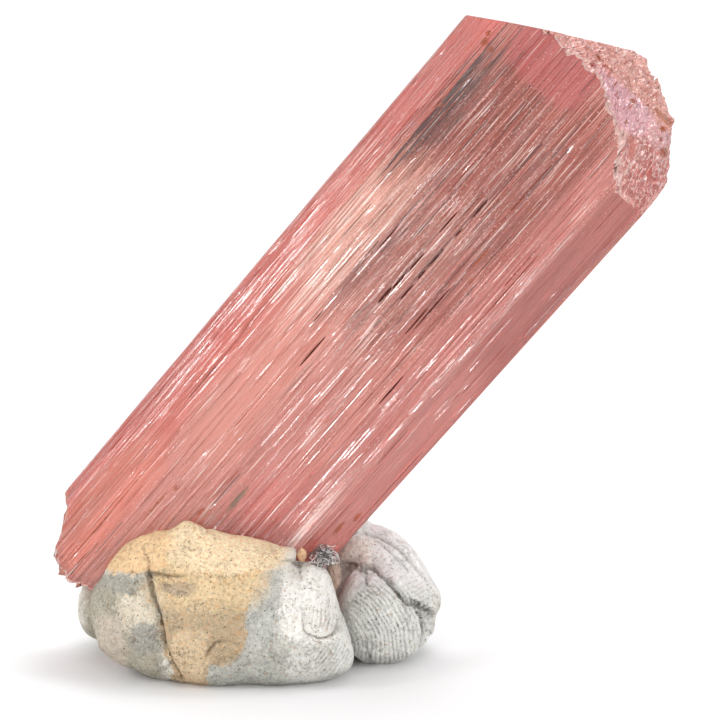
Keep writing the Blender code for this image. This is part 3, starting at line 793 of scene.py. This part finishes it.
# Tack wads. A place in the front view is in millimetres: x, and height above the lowest front rim.
wads = {
    "softening": 50,
    # dents of kneading, a lumpy skin and its fine grit: size and strength
    "skin": ((2.4, 0.3), (0.8, 0.12), (0.3, 0.07)),
    "rimSoftening": 24,
    "rimHeight": 1.7,
    "rimTuck": 1.5,
    "seatGap": 0.03,
    "partingGap": 0.08,
    "outlineSteps": 240,
    "creaseLip": 0.16,
    "slitWidth": 0.13,
    "slitShare": 0.25,
    "ridgeBend": 0.07,
    "front": {
        "grain": 0.195,
        "lobes": (
            ((-14.6, -7.4, 6.7), (13.1, 6.3, 7.7), 0.0),
            ((-20.4, -7.8, 9.4), (6.2, 4.8, 5.8), -28.0),
            ((-18.0, -8.4, 13.6), (2.6, 2.2, 2.4), 0.0),
            ((-23.4, -6.6, 6.2), (3.9, 5.2, 5.4), 10.0),
            ((-15.6, -9.6, 6.0), (6.4, 4.6, 7.2), -4.0),
            ((-8.6, -8.8, 4.6), (6.9, 5.0, 5.3), 6.0),
            ((-4.6, -6.6, 6.6), (3.5, 4.8, 6.4), 6.0),
            ((-16.0, -4.6, 2.2), (9.5, 4.0, 3.0), 0.0),
        ),
        "presses": (
            ((-22.6, -19.6, 11.6), 8.0),
            ((-8.4, -21.4, 11.0), 8.2),
        ),
        "middle": (-14.5, 6.8),
        "reach": (-40.0, -39.0),
        "outline": (
            (-27.4, 9.5), (-26.3, 11.0), (-25.1, 13.1), (-24.0, 14.25), (-22.8, 15.0),
            (-21.2, 15.45), (-19.7, 15.75), (-18.9, 16.1), (-18.3, 16.55), (-17.8, 16.7),
            (-17.2, 16.55), (-16.7, 16.25), (-15.8, 16.0), (-14.7, 15.55), (-13.0, 15.2),
            (-10.5, 14.8), (-9.5, 14.5), (-8.4, 14.05), (-6.8, 13.95), (-6.4, 12.8), (-5.9, 12.4),
            (-5.4, 12.6), (-4.5, 12.25), (-3.7, 11.5), (-3.2, 10.2), (-2.5, 7.9), (-1.9, 6.2),
            (-1.2, 3.7), (-1.1, 2.7), (-1.4, 1.9), (-3.0, 0.7), (-6.5, -0.2), (-11.8, -0.3),
            (-16.2, -0.1), (-18.7, 0.5), (-21.8, 0.8), (-23.9, 1.9), (-26.4, 3.6), (-27.3, 6.2),
        ),
        # creases in the front view: how far the soft side reaches, then x, height and depth at each point.
        # The surface stands sharp on the left of the way and sinks softly on its right.
        "creases": (
            (0.8, (
                (-21.6, 10.4, 0.3), (-21.2, 9.2, 0.8), (-20.6, 7.4, 0.8), (-20.3, 5.9, 0.8),
                (-20.1, 4.3, 0.8), (-19.5, 2.6, 0.7), (-18.5, 1.0, 0.6), (-17.9, 0.2, 0.5),
            )),
            (1.3, ((-21.9, 11.3, 0.3), (-20.9, 11.2, 0.55), (-19.2, 11.1, 0.4), (-17.2, 11.3, 0.0))),
            (0.6, ((-21.1, 10.0, 0.2), (-21.7, 11.0, 0.35), (-21.6, 12.6, 0.2), (-22.2, 14.0, 0.1))),
            (0.5, (
                (-12.4, 4.3, 0.0), (-13.6, 4.6, 0.15), (-14.9, 4.4, 0.3), (-15.7, 3.4, 0.35),
                (-16.2, 2.1, 0.05),
            )),
            (1.1, (
                (-2.4, 7.6, 0.0), (-2.6, 6.2, 0.25), (-3.0, 5.4, 0.45), (-3.7, 5.05, 0.55),
                (-4.6, 5.0, 0.6), (-5.5, 5.25, 0.5), (-6.0, 5.8, 0.35), (-6.2, 6.8, 0.2),
                (-6.1, 8.0, 0.0),
            )),
            (0.45, ((-6.4, 9.6, 0.0), (-6.5, 10.8, 0.1), (-6.6, 12.0, 0.22), (-6.5, 13.6, 0.4))),
            (0.5, ((-9.4, 14.3, 0.1), (-8.8, 12.9, 0.15), (-7.2, 12.5, 0.25), (-6.6, 12.4, 0.3))),
            (0.9, ((-16.2, 14.0, 0.0), (-17.2, 13.6, 0.15), (-18.2, 14.2, 0.15), (-19.2, 14.0, 0.0))),
            (0.9, ((-9.4, 9.4, 0.0), (-8.2, 9.6, 0.12), (-7.2, 10.6, 0.1), (-7.0, 11.6, 0.0))),
            (0.6, ((-21.3, 1.3, 0.0), (-20.0, 1.6, 0.2), (-19.2, 2.6, 0.15))),
        ),
        # skin ridges: the centre of their arcs, spacing, height, and the middle and half sizes of the print
        "ridges": (
            ((-12.5, 8.5), 0.36, 0.075, (-3.0, 2.4), (2.0, 2.3)),
            ((-12.5, 8.5), 0.4, 0.07, (-4.3, 6.8), (1.6, 1.3)),
        ),
    },
    "back": {
        "grain": 0.2,
        "lobes": (
            ((1.7, -0.8, 4.5), (4.7, 5.2, 5.0), -4.0),
            ((-0.8, 4.2, 10.3), (3.6, 3.8, 2.8), 4.0),
            ((2.3, 4.0, 9.0), (3.2, 4.2, 3.0), 26.0),
            ((4.6, 3.6, 6.9), (2.3, 4.4, 2.9), 38.0),
            ((5.9, 3.0, 4.7), (1.9, 4.2, 3.1), 0.0),
            ((-4.8, 7.8, 5.6), (8.2, 6.1, 6.4), 8.0),
            ((-14.4, 8.6, 6.6), (8.4, 5.6, 7.4), -4.0),
            ((-21.6, 8.0, 5.8), (5.2, 5.0, 6.0), -14.0),
            ((-9.6, 8.8, 10.6), (3.6, 4.0, 2.6), 12.0),
            ((-27.1, 3.6, 4.4), (2.1, 4.2, 3.3), 0.0),
            ((-24.0, 5.0, 3.2), (4.0, 5.0, 3.6), 0.0),
            ((-10.0, 3.4, 1.8), (12.5, 6.0, 2.6), 0.0),
        ),
        "presses": (
            ((-15.4, 24.6, 8.4), 11.4),
            ((-5.6, 21.4, 3.4), 8.4),
            ((6.8, 14.6, 8.0), 6.6),
            ((-29.8, 17.6, 9.0), 9.4),
        ),
        "middle": (0.6, 6.4),
        "reach": (-3.0, -0.5),
        "outline": (
            (-3.0, 14.0), (-1.1, 16.0), (-0.4, 16.5), (0.3, 16.4), (1.6, 16.2), (2.6, 15.75),
            (3.7, 15.0), (4.6, 14.1), (6.0, 12.0), (7.4, 9.75), (7.7, 8.75), (7.6, 7.9), (7.1, 7.0),
            (6.8, 5.4), (5.7, 4.1), (4.6, 2.8), (3.6, 2.2), (1.7, 1.9), (1.0, 2.1), (0.2, 1.9),
            (-0.8, 2.2), (-3.0, 5.0),
        ),
        "creases": (
            (0.75, (
                (-2.2, 12.2, 0.3), (-0.5, 12.1, 0.6), (0.7, 12.1, 0.65), (2.0, 11.3, 0.65),
                (3.3, 9.9, 0.7), (4.5, 8.7, 0.9), (6.0, 8.1, 0.9), (6.9, 7.4, 0.6),
            )),
            (0.8, ((5.6, 4.1, 0.2), (6.0, 5.5, 0.5), (5.6, 7.2, 0.6), (4.8, 8.4, 0.5))),
            (0.7, (
                (-1.0, 15.6, 0.1), (1.4, 15.2, 0.3), (3.4, 14.0, 0.3), (5.0, 12.2, 0.25),
                (6.2, 10.6, 0.1),
            )),
            (0.5, ((0.6, 15.2, 0.1), (2.6, 13.6, 0.25), (4.4, 11.8, 0.2))),
            (0.5, ((-0.4, 12.2, 0.2), (0.1, 11.2, 0.4), (0.2, 10.4, 0.3), (1.2, 10.0, 0.1))),
            (0.6, ((-0.6, 5.0, 0.0), (0.2, 3.6, 0.2), (0.7, 2.2, 0.3))),
        ),
        "ridges": (
            ((-4.4, 3.6), 0.44, 0.11, (1.7, 6.2), (4.2, 4.9)),
            ((-3.0, 30.0), 0.45, 0.03, (5.2, 9.6), (2.0, 1.4)),
        ),
        "backCreases": (
            (((-11.4, 12.0, 13.0), (-9.6, 13.4, 9.4), (-10.6, 14.0, 6.0), (-9.4, 13.0, 1.0)), 1.8, 1.5),
            (((-9.9, 13.6, 8.2), (-6.6, 13.8, 8.9), (-3.2, 12.4, 9.6)), 1.5, 1.0),
            (((-23.0, 11.4, 10.4), (-20.2, 12.8, 7.6), (-20.8, 13.2, 4.2), (-19.4, 12.4, 1.0)), 1.7, 1.3),
        ),
    },
}


def lobedLump(setting, swell=0.0):
    lumps = []
    for centre, radii, turn in setting["lobes"]:
        bpy.ops.mesh.primitive_ico_sphere_add(
            subdivisions=5,
            radius=1.0,
            location=centre,
            rotation=(0.0, math.radians(turn), 0.0),
            scale=[radius + swell for radius in radii],
        )
        lumps.append(bpy.context.object)
    wad = joinAll(lumps)
    applyModifier(wad, "REMESH", mode="VOXEL", voxel_size=setting["grain"])
    applyModifier(wad, "SMOOTH", factor=0.5, iterations=wads["softening"])
    return wad


def pressWithBalls(points, presses, swell=0.0):
    for centre, radius in presses:
        offset = points - centre
        length = np.linalg.norm(offset, axis=1)
        inside = length < radius - swell
        points[inside] = centre + offset[inside] / length[inside, None] * (radius - swell)


def frontView(points):
    # x and height as the camera sees them, and how much nearer or farther than its target each point is
    height = math.radians(studio["elevation"])
    offset = points - studio["target"]
    depth = studio["distance"] + offset[:, 1] * math.cos(height) - offset[:, 2] * math.sin(height)
    scale = depth / studio["distance"]
    seenX = offset[:, 0] / scale + studio["target"][0]
    seenUp = (offset[:, 1] * math.sin(height) + offset[:, 2] * math.cos(height)) / scale
    return np.stack((seenX, seenUp + studio["frontRim"]), axis=1), scale


def smoothStep(value, low, high):
    share = np.clip((value - low) / (high - low), 0.0, 1.0)
    return share * share * (3.0 - 2.0 * share)


def fitOutline(points, setting, swell):
    # stretches the wad from its middle until its outline in the front view is the wanted one
    seen, scale = frontView(points)
    offset = seen - setting["middle"]
    turn = np.arctan2(offset[:, 1], offset[:, 0])
    reach = np.linalg.norm(offset, axis=1)
    toCrystal = np.array(crystalPose().inverted())
    inCrystal = (points + middle) @ toCrystal[:3, :3].T + toCrystal[:3, 3]
    shown = (points[:, 2] > 0.0) & (
        (inCrystal[:, 1] < crystal["section"][0][1]) | (inCrystal[:, 0] > 14.0) | (points[:, 0] > 0.0)
    )
    bins = wads["outlineSteps"]
    binAt = (turn + math.pi) / (2 * math.pi) * bins
    present = np.zeros(bins)
    np.maximum.at(present, binAt[shown].astype(int) % bins, reach[shown])
    present[present == 0.0] = np.nan
    known = np.where(~np.isnan(present))[0]
    present = np.interp(np.arange(bins), known, present[known], period=bins)
    present = sum(np.roll(present, shift) for shift in (-2, -1, 0, 1, 2)) / 5
    wanted = np.array(setting["outline"]) - setting["middle"]
    wantedTurn = np.arctan2(wanted[:, 1], wanted[:, 0])
    wantedReach = np.linalg.norm(wanted, axis=1) + swell
    order = np.argsort(wantedTurn)
    binTurn = (np.arange(bins) + 0.5) / bins * 2 * math.pi - math.pi
    target = np.interp(binTurn, wantedTurn[order], wantedReach[order], period=2 * math.pi)
    share = np.interp(binAt - 0.5, np.arange(bins), target / present, period=bins)
    edge = np.interp(binAt - 0.5, np.arange(bins), present, period=bins)
    weight = smoothStep(seen[:, 0], *setting["reach"]) * smoothStep(reach / edge, 0.2, 0.9)
    move = offset * ((share - 1.0) * weight)[:, None] * scale[:, None]
    points[:, 0] += move[:, 0]
    points[:, 2] += move[:, 1] / math.cos(math.radians(studio["elevation"]))


def legsOf(points, path):
    # each leg of a path, with the points' offsets from its start, places along it and distances from it
    for start, end in zip(path, path[1:]):
        run = end - start
        offset = points - start
        share = np.clip(offset @ run / (run @ run), 0.0, 1.0)
        yield run, offset, share, np.linalg.norm(offset - share[:, None] * run, axis=1)


def alongPath(seen, path):
    # how far each point is from the path, on which side, and the path's depth beside it
    path = np.array(path)
    nearest = np.full(len(seen), np.inf)
    side = np.ones(len(seen))
    depth = np.zeros(len(seen))
    depths = zip(path[:, 2], path[1:, 2])
    for (run, offset, share, distance), (first, last) in zip(legsOf(seen, path[:, :2]), depths):
        closer = distance < nearest
        nearest = np.where(closer, distance, nearest)
        left = np.sign(run[0] * offset[:, 1] - run[1] * offset[:, 0])
        side = np.where(closer, left, side)
        depth = np.where(closer, first + share * (last - first), depth)
    return nearest, side, depth


def facingFront(normals):
    height = math.radians(studio["elevation"])
    return smoothStep(-normals[:, 1] * math.cos(height) + normals[:, 2] * math.sin(height), 0.05, 0.3)


def addToHollowShade(piece, amount):
    # keeps how deep each point lies in a crease or groove, for the painted shade there
    hollowShades = piece.data.attributes.get("hollowShade") or piece.data.attributes.new("hollowShade", "FLOAT", "POINT")
    before = np.empty(len(amount))
    hollowShades.data.foreach_get("value", before)
    hollowShades.data.foreach_set("value", np.maximum(before, amount))


def creaseFront(piece, creases):
    for soft, path in creases:
        points, normals = pointsOf(piece), pointsOf(piece, "normal")
        seen = frontView(points)[0]
        distance, side, depth = alongPath(seen, path)
        reach = np.where(side > 0.0, wads["creaseLip"], soft)
        slit = np.exp(-((distance / wads["slitWidth"]) ** 1.5))
        front = facingFront(normals)
        sink = depth * (np.exp(-((distance / reach) ** 1.3)) + wads["slitShare"] * slit) * front
        setPoints(piece, points - normals * sink[:, None])
        # the slit of the crease is also darkened as painted shade
        addToHollowShade(piece, slit * np.clip(depth / 0.5, 0.0, 1.0) * front)


def refineFront(piece, fromX):
    # what the front view shows gets a finer mesh, each face split in four
    centres = np.array([face.center for face in piece.data.polygons])
    normals = np.array([face.normal for face in piece.data.polygons])
    chosen = (centres[:, 0] > fromX) & (facingFront(normals) > 0.0) & (centres[:, 2] > 0.0)
    activate(piece)
    bpy.ops.object.mode_set(mode="EDIT")
    bpy.ops.mesh.select_mode(type="FACE")
    bpy.ops.mesh.select_all(action="DESELECT")
    bpy.ops.object.mode_set(mode="OBJECT")
    piece.data.polygons.foreach_set("select", chosen)
    bpy.ops.object.mode_set(mode="EDIT")
    bpy.ops.mesh.subdivide(number_cuts=1)
    bpy.ops.mesh.select_mode(type="VERT")
    bpy.ops.object.mode_set(mode="OBJECT")


def printRidges(piece, ridges):
    # fine curved skin ridges, as a finger leaves them
    points, normals = pointsOf(piece), pointsOf(piece, "normal")
    seen = frontView(points)[0]
    x, up = seen[:, 0], seen[:, 1]
    bend = wads["ridgeBend"] * (np.sin(1.3 * x + 0.6 * up) + np.sin(1.9 * up - 0.7 * x + 2.0))
    broken = 0.75 + 0.25 * np.sin(4.1 * up + 2.0 * np.sin(1.7 * x)) * np.sin(3.3 * x + np.sin(2.9 * up))
    for centre, spacing, height, at, half in ridges:
        near = np.linalg.norm((seen - at) / half, axis=1)
        weight = (1.0 - smoothStep(near, 0.75, 1.1)) * facingFront(normals)
        distance = np.linalg.norm(seen - centre, axis=1) + bend
        wave = np.cos(distance / spacing * 2 * math.pi)
        groove = np.clip(-wave, 0.0, 1.0) ** 1.5
        points -= normals * (height * 2 * groove * broken * weight)[:, None]
        # the grooves are also darkened as painted shade
        addToHollowShade(piece, 0.3 * groove * broken * weight)
    setPoints(piece, points)


def nearestTo(points, place):
    return points[np.argmin(np.linalg.norm(points - place, axis=1))]


def foldAlong(piece, creases):
    points, normals = pointsOf(piece), pointsOf(piece, "normal")
    for path, width, depth in creases:
        laid = [nearestTo(points, place) for place in path]
        distance = np.min([leg[3] for leg in legsOf(points, laid)], axis=0)
        share = np.clip(distance / width, 0.0, 1.0)
        points -= normals * (depth * (1.0 - share) ** 1.5)[:, None]
    setPoints(piece, points)


def tuckUnder(piece):
    # the rim rounds inward towards the ground
    points, normals = pointsOf(piece), pointsOf(piece, "normal")
    low = np.clip(1.0 - points[:, 2] / wads["rimHeight"], 0.0, 1.3)
    flat = normals * (1.0, 1.0, 0.0)
    setPoints(piece, points - flat * (wads["rimTuck"] * low**2)[:, None])


def squeezedWad(setting, swell=0.0):
    wad = lobedLump(setting, swell)
    points = pointsOf(wad)
    pressWithBalls(points, setting["presses"], swell)
    fitOutline(points, setting, swell)
    setPoints(wad, points)
    applyModifier(wad, "SMOOTH", factor=0.5, iterations=wads["rimSoftening"])
    return wad


def seatTool():
    # the crystal's prism without ledges, a hair wider all round
    gap = wads["seatGap"]
    section = [Vector(corner[:2]) for corner in crystal["section"]]
    heights = (crystal["bottom"] - 1.0, 30.0)
    rings = np.empty((2, len(section), 3))
    for index, corner in enumerate(section):
        before = (corner - section[index - 1]).normalized()
        after = (section[(index + 1) % len(section)] - corner).normalized()
        bisector = Vector((before.y + after.y, -before.x - after.x)).normalized()
        spread = gap / bisector.dot(Vector((after.y, -after.x)))
        spot = corner + bisector * spread
        for ring, height in enumerate(heights):
            rings[ring, index] = (spot.x * wideningAt(height), spot.y, height)
    tool = prismThrough(rings)
    under = roughBlock(lambda x, y: footHeight(x, y) - gap, crystal["bottom"] - 6)
    cutAway(tool, under)
    pose = crystalPose()
    pose.translation -= middle
    tool.data.transform(pose)
    return tool


def groundTool():
    bpy.ops.mesh.primitive_cube_add(size=120.0, location=(0.0, 0.0, -60.0))
    return settle()


def makeWads(material):
    seat, ground = seatTool(), groundTool()
    front = squeezedWad(wads["front"])
    back = squeezedWad(wads["back"])
    foldAlong(back, wads["back"]["backCreases"])
    for wad, setting in ((front, wads["front"]), (back, wads["back"])):
        refineFront(wad, setting["reach"][0])
        tuckUnder(wad)
        for size, strength in wads["skin"]:
            dented(wad, size, strength)
        creaseFront(wad, setting["creases"])
        printRidges(wad, setting["ridges"])
    cutAway(back, squeezedWad(wads["front"], swell=wads["partingGap"]))
    for wad, name, node in (
        (front, "front_wad_squeezed", "front_tack_wad"),
        (back, "back_wad_squeezed", "back_tack_wad"),
    ):
        cutAway(wad, ground, keep=True)
        cutAway(wad, seat, keep=True)
        toMetres(wad)
        finishPiece(wad, name, material, smoothAngle=50)
        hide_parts(node)
    for tool in (seat, ground):
        bpy.data.objects.remove(tool, do_unlink=True)


# Small things lodged between the wads and the crystal
lodged = {
    # name, place, half sizes and colour
    "grains": (
        ("lodged_grain", (-6.25, -6.9, 12.35), (0.5, 0.5, 0.68), (214, 172, 132)),
        ("lodged_crumb", (-3.1, -5.4, 10.0), (0.75, 0.75, 1.6), (164, 138, 122)),
    ),
    "chips": (0.5, 0.35),
    "coarseness": 0.12,
    "tuftAt": (-4.1, -6.9, 12.1),
    "tuftSize": (1.35, 0.7, 1.15),
    "fibres": 50,
    "fibreRadius": 0.035,
    "fibreColour": (228, 222, 220),
    "darkFibreColour": (92, 84, 82),
}


def plainMaterial(name, colour, roughness):
    material, tree, shader = newMaterial(name)
    place = newNode(tree, "TexCoord").outputs["Object"]
    grain = noiseOf(place, 2600.0, detail=3.0)
    shade = rangeOf(grain, 0.3, 0.7, 0.7, 1.15)
    feed(shader, {"Base Color": scaledBy(linear(*colour)[:3], shade), "Roughness": roughness})
    return material


def makeGrain(name, place, halfSizes, colour):
    bpy.ops.mesh.primitive_ico_sphere_add(subdivisions=4, radius=1.0, location=place, scale=halfSizes)
    grain = settle()
    dented(grain, *lodged["chips"])
    applyModifier(grain, "DECIMATE", ratio=lodged["coarseness"])
    toMetres(grain)
    finishPiece(grain, name, plainMaterial(name + "_stone", colour, 0.4), smoothAngle=25)


def makeTuft(name, colour, seed):
    # a tangle of fine fibres, each one wandering through a small oval
    rng = np.random.default_rng(seed)
    curve = bpy.data.curves.new(name, "CURVE")
    curve.dimensions = "3D"
    curve.bevel_depth = lodged["fibreRadius"]
    curve.bevel_resolution = 0
    curve.use_fill_caps = True
    for _ in range(lodged["fibres"]):
        place = rng.normal(0.0, 0.4, 3)
        heading = rng.normal(0.0, 1.0, 3)
        spline = curve.splines.new("POLY")
        spline.points.add(13)
        for point in spline.points:
            heading = heading * 0.75 + rng.normal(0.0, 0.6, 3) - place * 0.5
            place = place + heading / np.linalg.norm(heading) * 0.2
            spot = Vector(lodged["tuftAt"]) + Vector(place * lodged["tuftSize"])
            point.co = (*spot, 1.0)
            point.radius = rng.uniform(0.6, 1.3)
    tangle = bpy.data.objects.new(name, curve)
    bpy.context.collection.objects.link(tangle)
    activate(tangle)
    bpy.ops.object.convert(target="MESH")
    tangle = bpy.context.object
    toMetres(tangle)
    finishPiece(tangle, name, plainMaterial(name + "_lint", colour, 0.7))


def makeLodged():
    for grain in lodged["grains"]:
        makeGrain(*grain)
    makeTuft("pale_fibres", lodged["fibreColour"], 5)
    makeTuft("dark_fibres", lodged["darkFibreColour"], 11)
    print("lodged bits ready")


# Colours, in sRGB, of the tack. A patch has its middle (x, height) and half sizes in the front view.
tack = {
    "colour": (226, 221, 210),
    "patches": (
        ((-4.5, 8.0), (4.0, 5.5), 0.5, (248, 244, 237)),
        # greyer along the low rim: the tack's own grey, and painted shade towards the bottom
        ((-9.0, 2.2), (7.5, 2.6), 0.5, (190, 189, 180)),
        ((-4.2, 1.8), (3.4, 2.8), 0.5, (220, 218, 211)),
        ((-10.6, 8.6), (2.2, 4.8), 0.5, (194, 193, 186)),
        # greyer on the lower left lobe: the tack's own grey, and painted shade
        ((-24.2, 5.4), (4.2, 5.8), 0.3, (176, 170, 153)),
        ((-22.4, 8.0), (2.0, 2.4), 0.7, (228, 217, 196)),
        ((-24.4, 10.6), (2.2, 0.9), 0.6, (172, 168, 156)),
        ((-21.7, 5.2), (1.3, 1.5), 0.6, (172, 168, 158)),
        ((-25.2, 4.2), (1.6, 3.4), 0.6, (200, 188, 172)),
        ((-15.9, 8.2), (4.2, 5.6), 0.12, (194, 172, 141)),
        ((-17.3, 2.4), (1.9, 3.6), 0.12, (220, 196, 162)),
        ((-15.6, 13.4), (5.8, 5.2), 0.45, (230, 203, 161)),
        ((-23.2, 14.6), (3.7, 3.0), 0.15, (240, 205, 160)),
        ((-13.4, 14.4), (5.6, 2.6), 0.4, (250, 226, 188)),
        # grey-beige beneath the fold right of the pit: painted shade
        ((-18.6, 10.2), (1.8, 0.6), 0.6, (188, 168, 142)),
        ((3.4, 12.6), (5.0, 4.0), 0.4, (250, 248, 246)),
        ((-1.0, 13.2), (1.6, 1.6), 0.6, (236, 220, 210)),
        ((2.2, 5.4), (5.2, 4.6), 0.4, (236, 236, 230)),
    ),
    "stain": (214, 158, 98),
    # from none to all: how much redder than blue tack stains, the mottling that does, the width of the
    # wrinkles and where they are, and the roundness of dents, each with how much it does if not all
    "stained": (0.16, 0.36),
    "mottled": (0.5, 0.7, 0.0, 0.7),
    "wrinkle": (0.014, 0.002),
    "wrinkled": (0.46, 0.6),
    "dented": (0.47, 0.36, 0.0, 0.4),
    # specks: how many to a millimetre, the share that shows, their reach, colour and strength
    "specks": (
        (2.0, 0.5, 0.42, (190, 152, 110), 0.4),
        # pale specks: painted highlights on the grains
        (3.6, 0.3, 0.42, (250, 246, 238), 0.3),
        # dark specks: dust, and painted shade in pores
        (4.3, 0.42, 0.35, (76, 68, 62), 0.75),
    ),
    # the colour of the painted shade in creases, grooves, concave dents and wrinkles
    "crease": (104, 90, 76),
    "roughness": (0.62, 0.9),
    # how many to a millimetre of each pattern, and how much the mottling and the skin lighten the tack
    "softGrain": 0.55,
    "skinGrain": 3.2,
    "mottleGrain": 1.5,
    "wrinkleGrain": 1.1,
    "mottleShare": 1.2,
    "skinShare": 1.7,
    "shade": -0.26,
    "creaseStrength": 0.5,
    "skinDepth": 0.00036,
}


def tackMaterial():
    material, tree, shader = newMaterial("Mineral tack")
    place = newNode(tree, "TexCoord").outputs["Object"]
    place = vectorMathOf("MULTIPLY_ADD", place, (1 / mm,) * 3, tuple(-middle))
    x = nextNode("SeparateXYZ", {0: place}).outputs[0]
    tilt = math.radians(studio["elevation"])
    up = vectorMathOf("DOT_PRODUCT", place, (0.0, math.sin(tilt), math.cos(tilt)), output="Value")
    up = mathOf("ADD", up, studio["frontRim"] - studio["target"][2] * math.cos(tilt))
    soft = noiseOf(place, tack["softGrain"], detail=4.0, roughness=0.6)
    skin = noiseOf(place, tack["skinGrain"], detail=5.0, roughness=0.75)
    seen = nextNode("CombineXYZ", {0: x, 2: up}).outputs[0]
    wander = timesPlus(skin, 1.0, timesPlus(soft, 2.0, -1.5))
    near = shiftedBy(seen, wander, wander)
    colour = linear(*tack["colour"])
    for at, half, rim, tint in tack["patches"]:
        colour = mixOf(patchMask(near, at, half, rim), colour, linear(*tint))
    mottle = noiseOf(place, tack["mottleGrain"], detail=5.0, roughness=0.75)
    # the skin lightens where it lifts the bump: random tone, and painted light and shade on the fine relief
    shade = timesPlus(skin, tack["skinShare"], tack["shade"])
    shade = timesPlus(mottle, tack["mottleShare"], shade)
    colour = scaledBy(colour, shade)
    # rusty mottling where the tack is cream, as its blue is low there
    channels = nextNode("SeparateColor", {0: colour}).outputs
    creamy = rangeOf(mathOf("SUBTRACT", channels[0], channels[2]), *tack["stained"])
    stained = times(creamy, rangeOf(mottle, *tack["mottled"]))
    colour = mixOf(stained, colour, linear(*tack["stain"]))

    strayed = timesPlus(skin, 0.5, -0.25)
    strayed = shiftedBy(place, strayed, strayed)
    for size, share, reach, tint, strength in tack["specks"]:
        cells = nextNode("TexVoronoi", {"Vector": strayed, "Scale": size})
        pick = nextNode("SeparateColor", {0: cells.outputs["Color"]}).outputs
        radius = times(pick[1], reach)
        dot = mathOf("LESS_THAN", cells.outputs["Distance"], radius)
        dot = times(dot, mathOf("LESS_THAN", pick[0], share))
        colour = mixOf(times(dot, strength), colour, linear(*tint))

    wrinkle = noiseOf(place, tack["wrinkleGrain"], detail=3.0, roughness=0.7)
    wrinkle = mathOf("ABSOLUTE", mathOf("SUBTRACT", wrinkle, 0.5))
    wrinkle = rangeOf(wrinkle, *tack["wrinkle"])
    wrinkle = times(wrinkle, rangeOf(soft, *tack["wrinkled"]))
    # painted shade in creases and ridge grooves, in concave dents and along wrinkles
    hollowShade = newNode(tree, "Attribute", attribute_name="hollowShade").outputs["Fac"]
    hollowShade = times(hollowShade, timesPlus(skin, 1.4, 0.1))
    dent = newNode(tree, "NewGeometry").outputs["Pointiness"]
    hollowShade = mathOf("ADD", hollowShade, rangeOf(dent, *tack["dented"]))
    hollowShade = timesPlus(wrinkle, 0.4, hollowShade)
    hollowShade = mathOf("MINIMUM", hollowShade, tack["creaseStrength"])
    colour = mixOf(hollowShade, colour, linear(*tack["crease"]))
    relief = timesPlus(wrinkle, -0.5, skin)
    inputs = {"Strength": 1.0, "Distance": tack["skinDepth"], "Height": relief}
    looks = {
        "Base Color": colour,
        "Roughness": rangeOf(skin, 0.3, 0.7, *tack["roughness"]),
        "Normal": nextNode("Bump", inputs).outputs[0],
        "Specular IOR Level": 0.3,
    }
    feed(shader, looks)
    return material


# Floor, light and camera
studio = {
    "target": (-0.5, 0.0, 30.7),
    "frontRim": 32.7,
    "elevation": 12.0,
    "distance": 600.0,
    "lens": 300.0,
    "floorColour": (0.86, 0.86, 0.87, 1.0),
    "worldStrength": 0.72,
    # name, place, side and power
    "lights": (
        ("Front glint", (-145, -505, 192), 50, 0.25),
        ("Left glint", (-440, -100, 372), 50, 0.22),
        ("Front softbox", (-40, -760, 240), 620, 1.2),
        ("Right softbox", (430, -170, 230), 130, 0.42),
        ("Top softbox", (100, 150, 470), 260, 0.85),
        ("Left softbox", (-380, -160, 260), 220, 0.42),
        ("Back softbox", (-60, 420, 300), 300, 0.6),
    ),
}


def makeStudio():
    bpy.ops.mesh.primitive_plane_add(size=6.0, location=(0.0, 0.0, 0.0))
    floor = bpy.context.object
    floor.name = "studio_floor"
    material, _, shader = newMaterial("White floor")
    feed(shader, {"Base Color": studio["floorColour"], "Roughness": 0.9, "Specular IOR Level": 0.2})
    floor.data.materials.append(material)
    world = bpy.data.worlds.new("Studio")
    world.use_nodes = True
    white = {"Color": (1.0, 1.0, 1.0, 1.0), "Strength": studio["worldStrength"]}
    feed(world.node_tree.nodes["Background"], white)
    bpy.context.scene.world = world
    bpy.context.scene.view_settings.view_transform = "Standard"
    target = (Vector(studio["target"]) + middle) * mm
    for name, place, side, power in studio["lights"]:
        place = Vector(place) * mm
        aim = (target - place).to_track_quat("-Z", "Y").to_euler()
        bpy.ops.object.light_add(type="AREA", location=place, rotation=aim)
        lamp = bpy.context.object
        lamp.name = name
        lamp.data.size = side * mm
        lamp.data.energy = power
    height = math.radians(studio["elevation"])
    back = Vector((0.0, -math.cos(height), math.sin(height))) * studio["distance"] * mm
    bpy.ops.object.camera_add(
        location=target + back, rotation=Euler((math.radians(90.0) - height, 0.0, 0.0))
    )
    camera = bpy.context.object
    camera.data.sensor_width = 36.0
    camera.data.lens = studio["lens"]
    camera.data.clip_end = 20.0
    bpy.context.scene.camera = camera


makeCrystal(kunziteMaterial())
makeWads(tackMaterial())
makeLodged()
makeStudio()
print("studio ready")
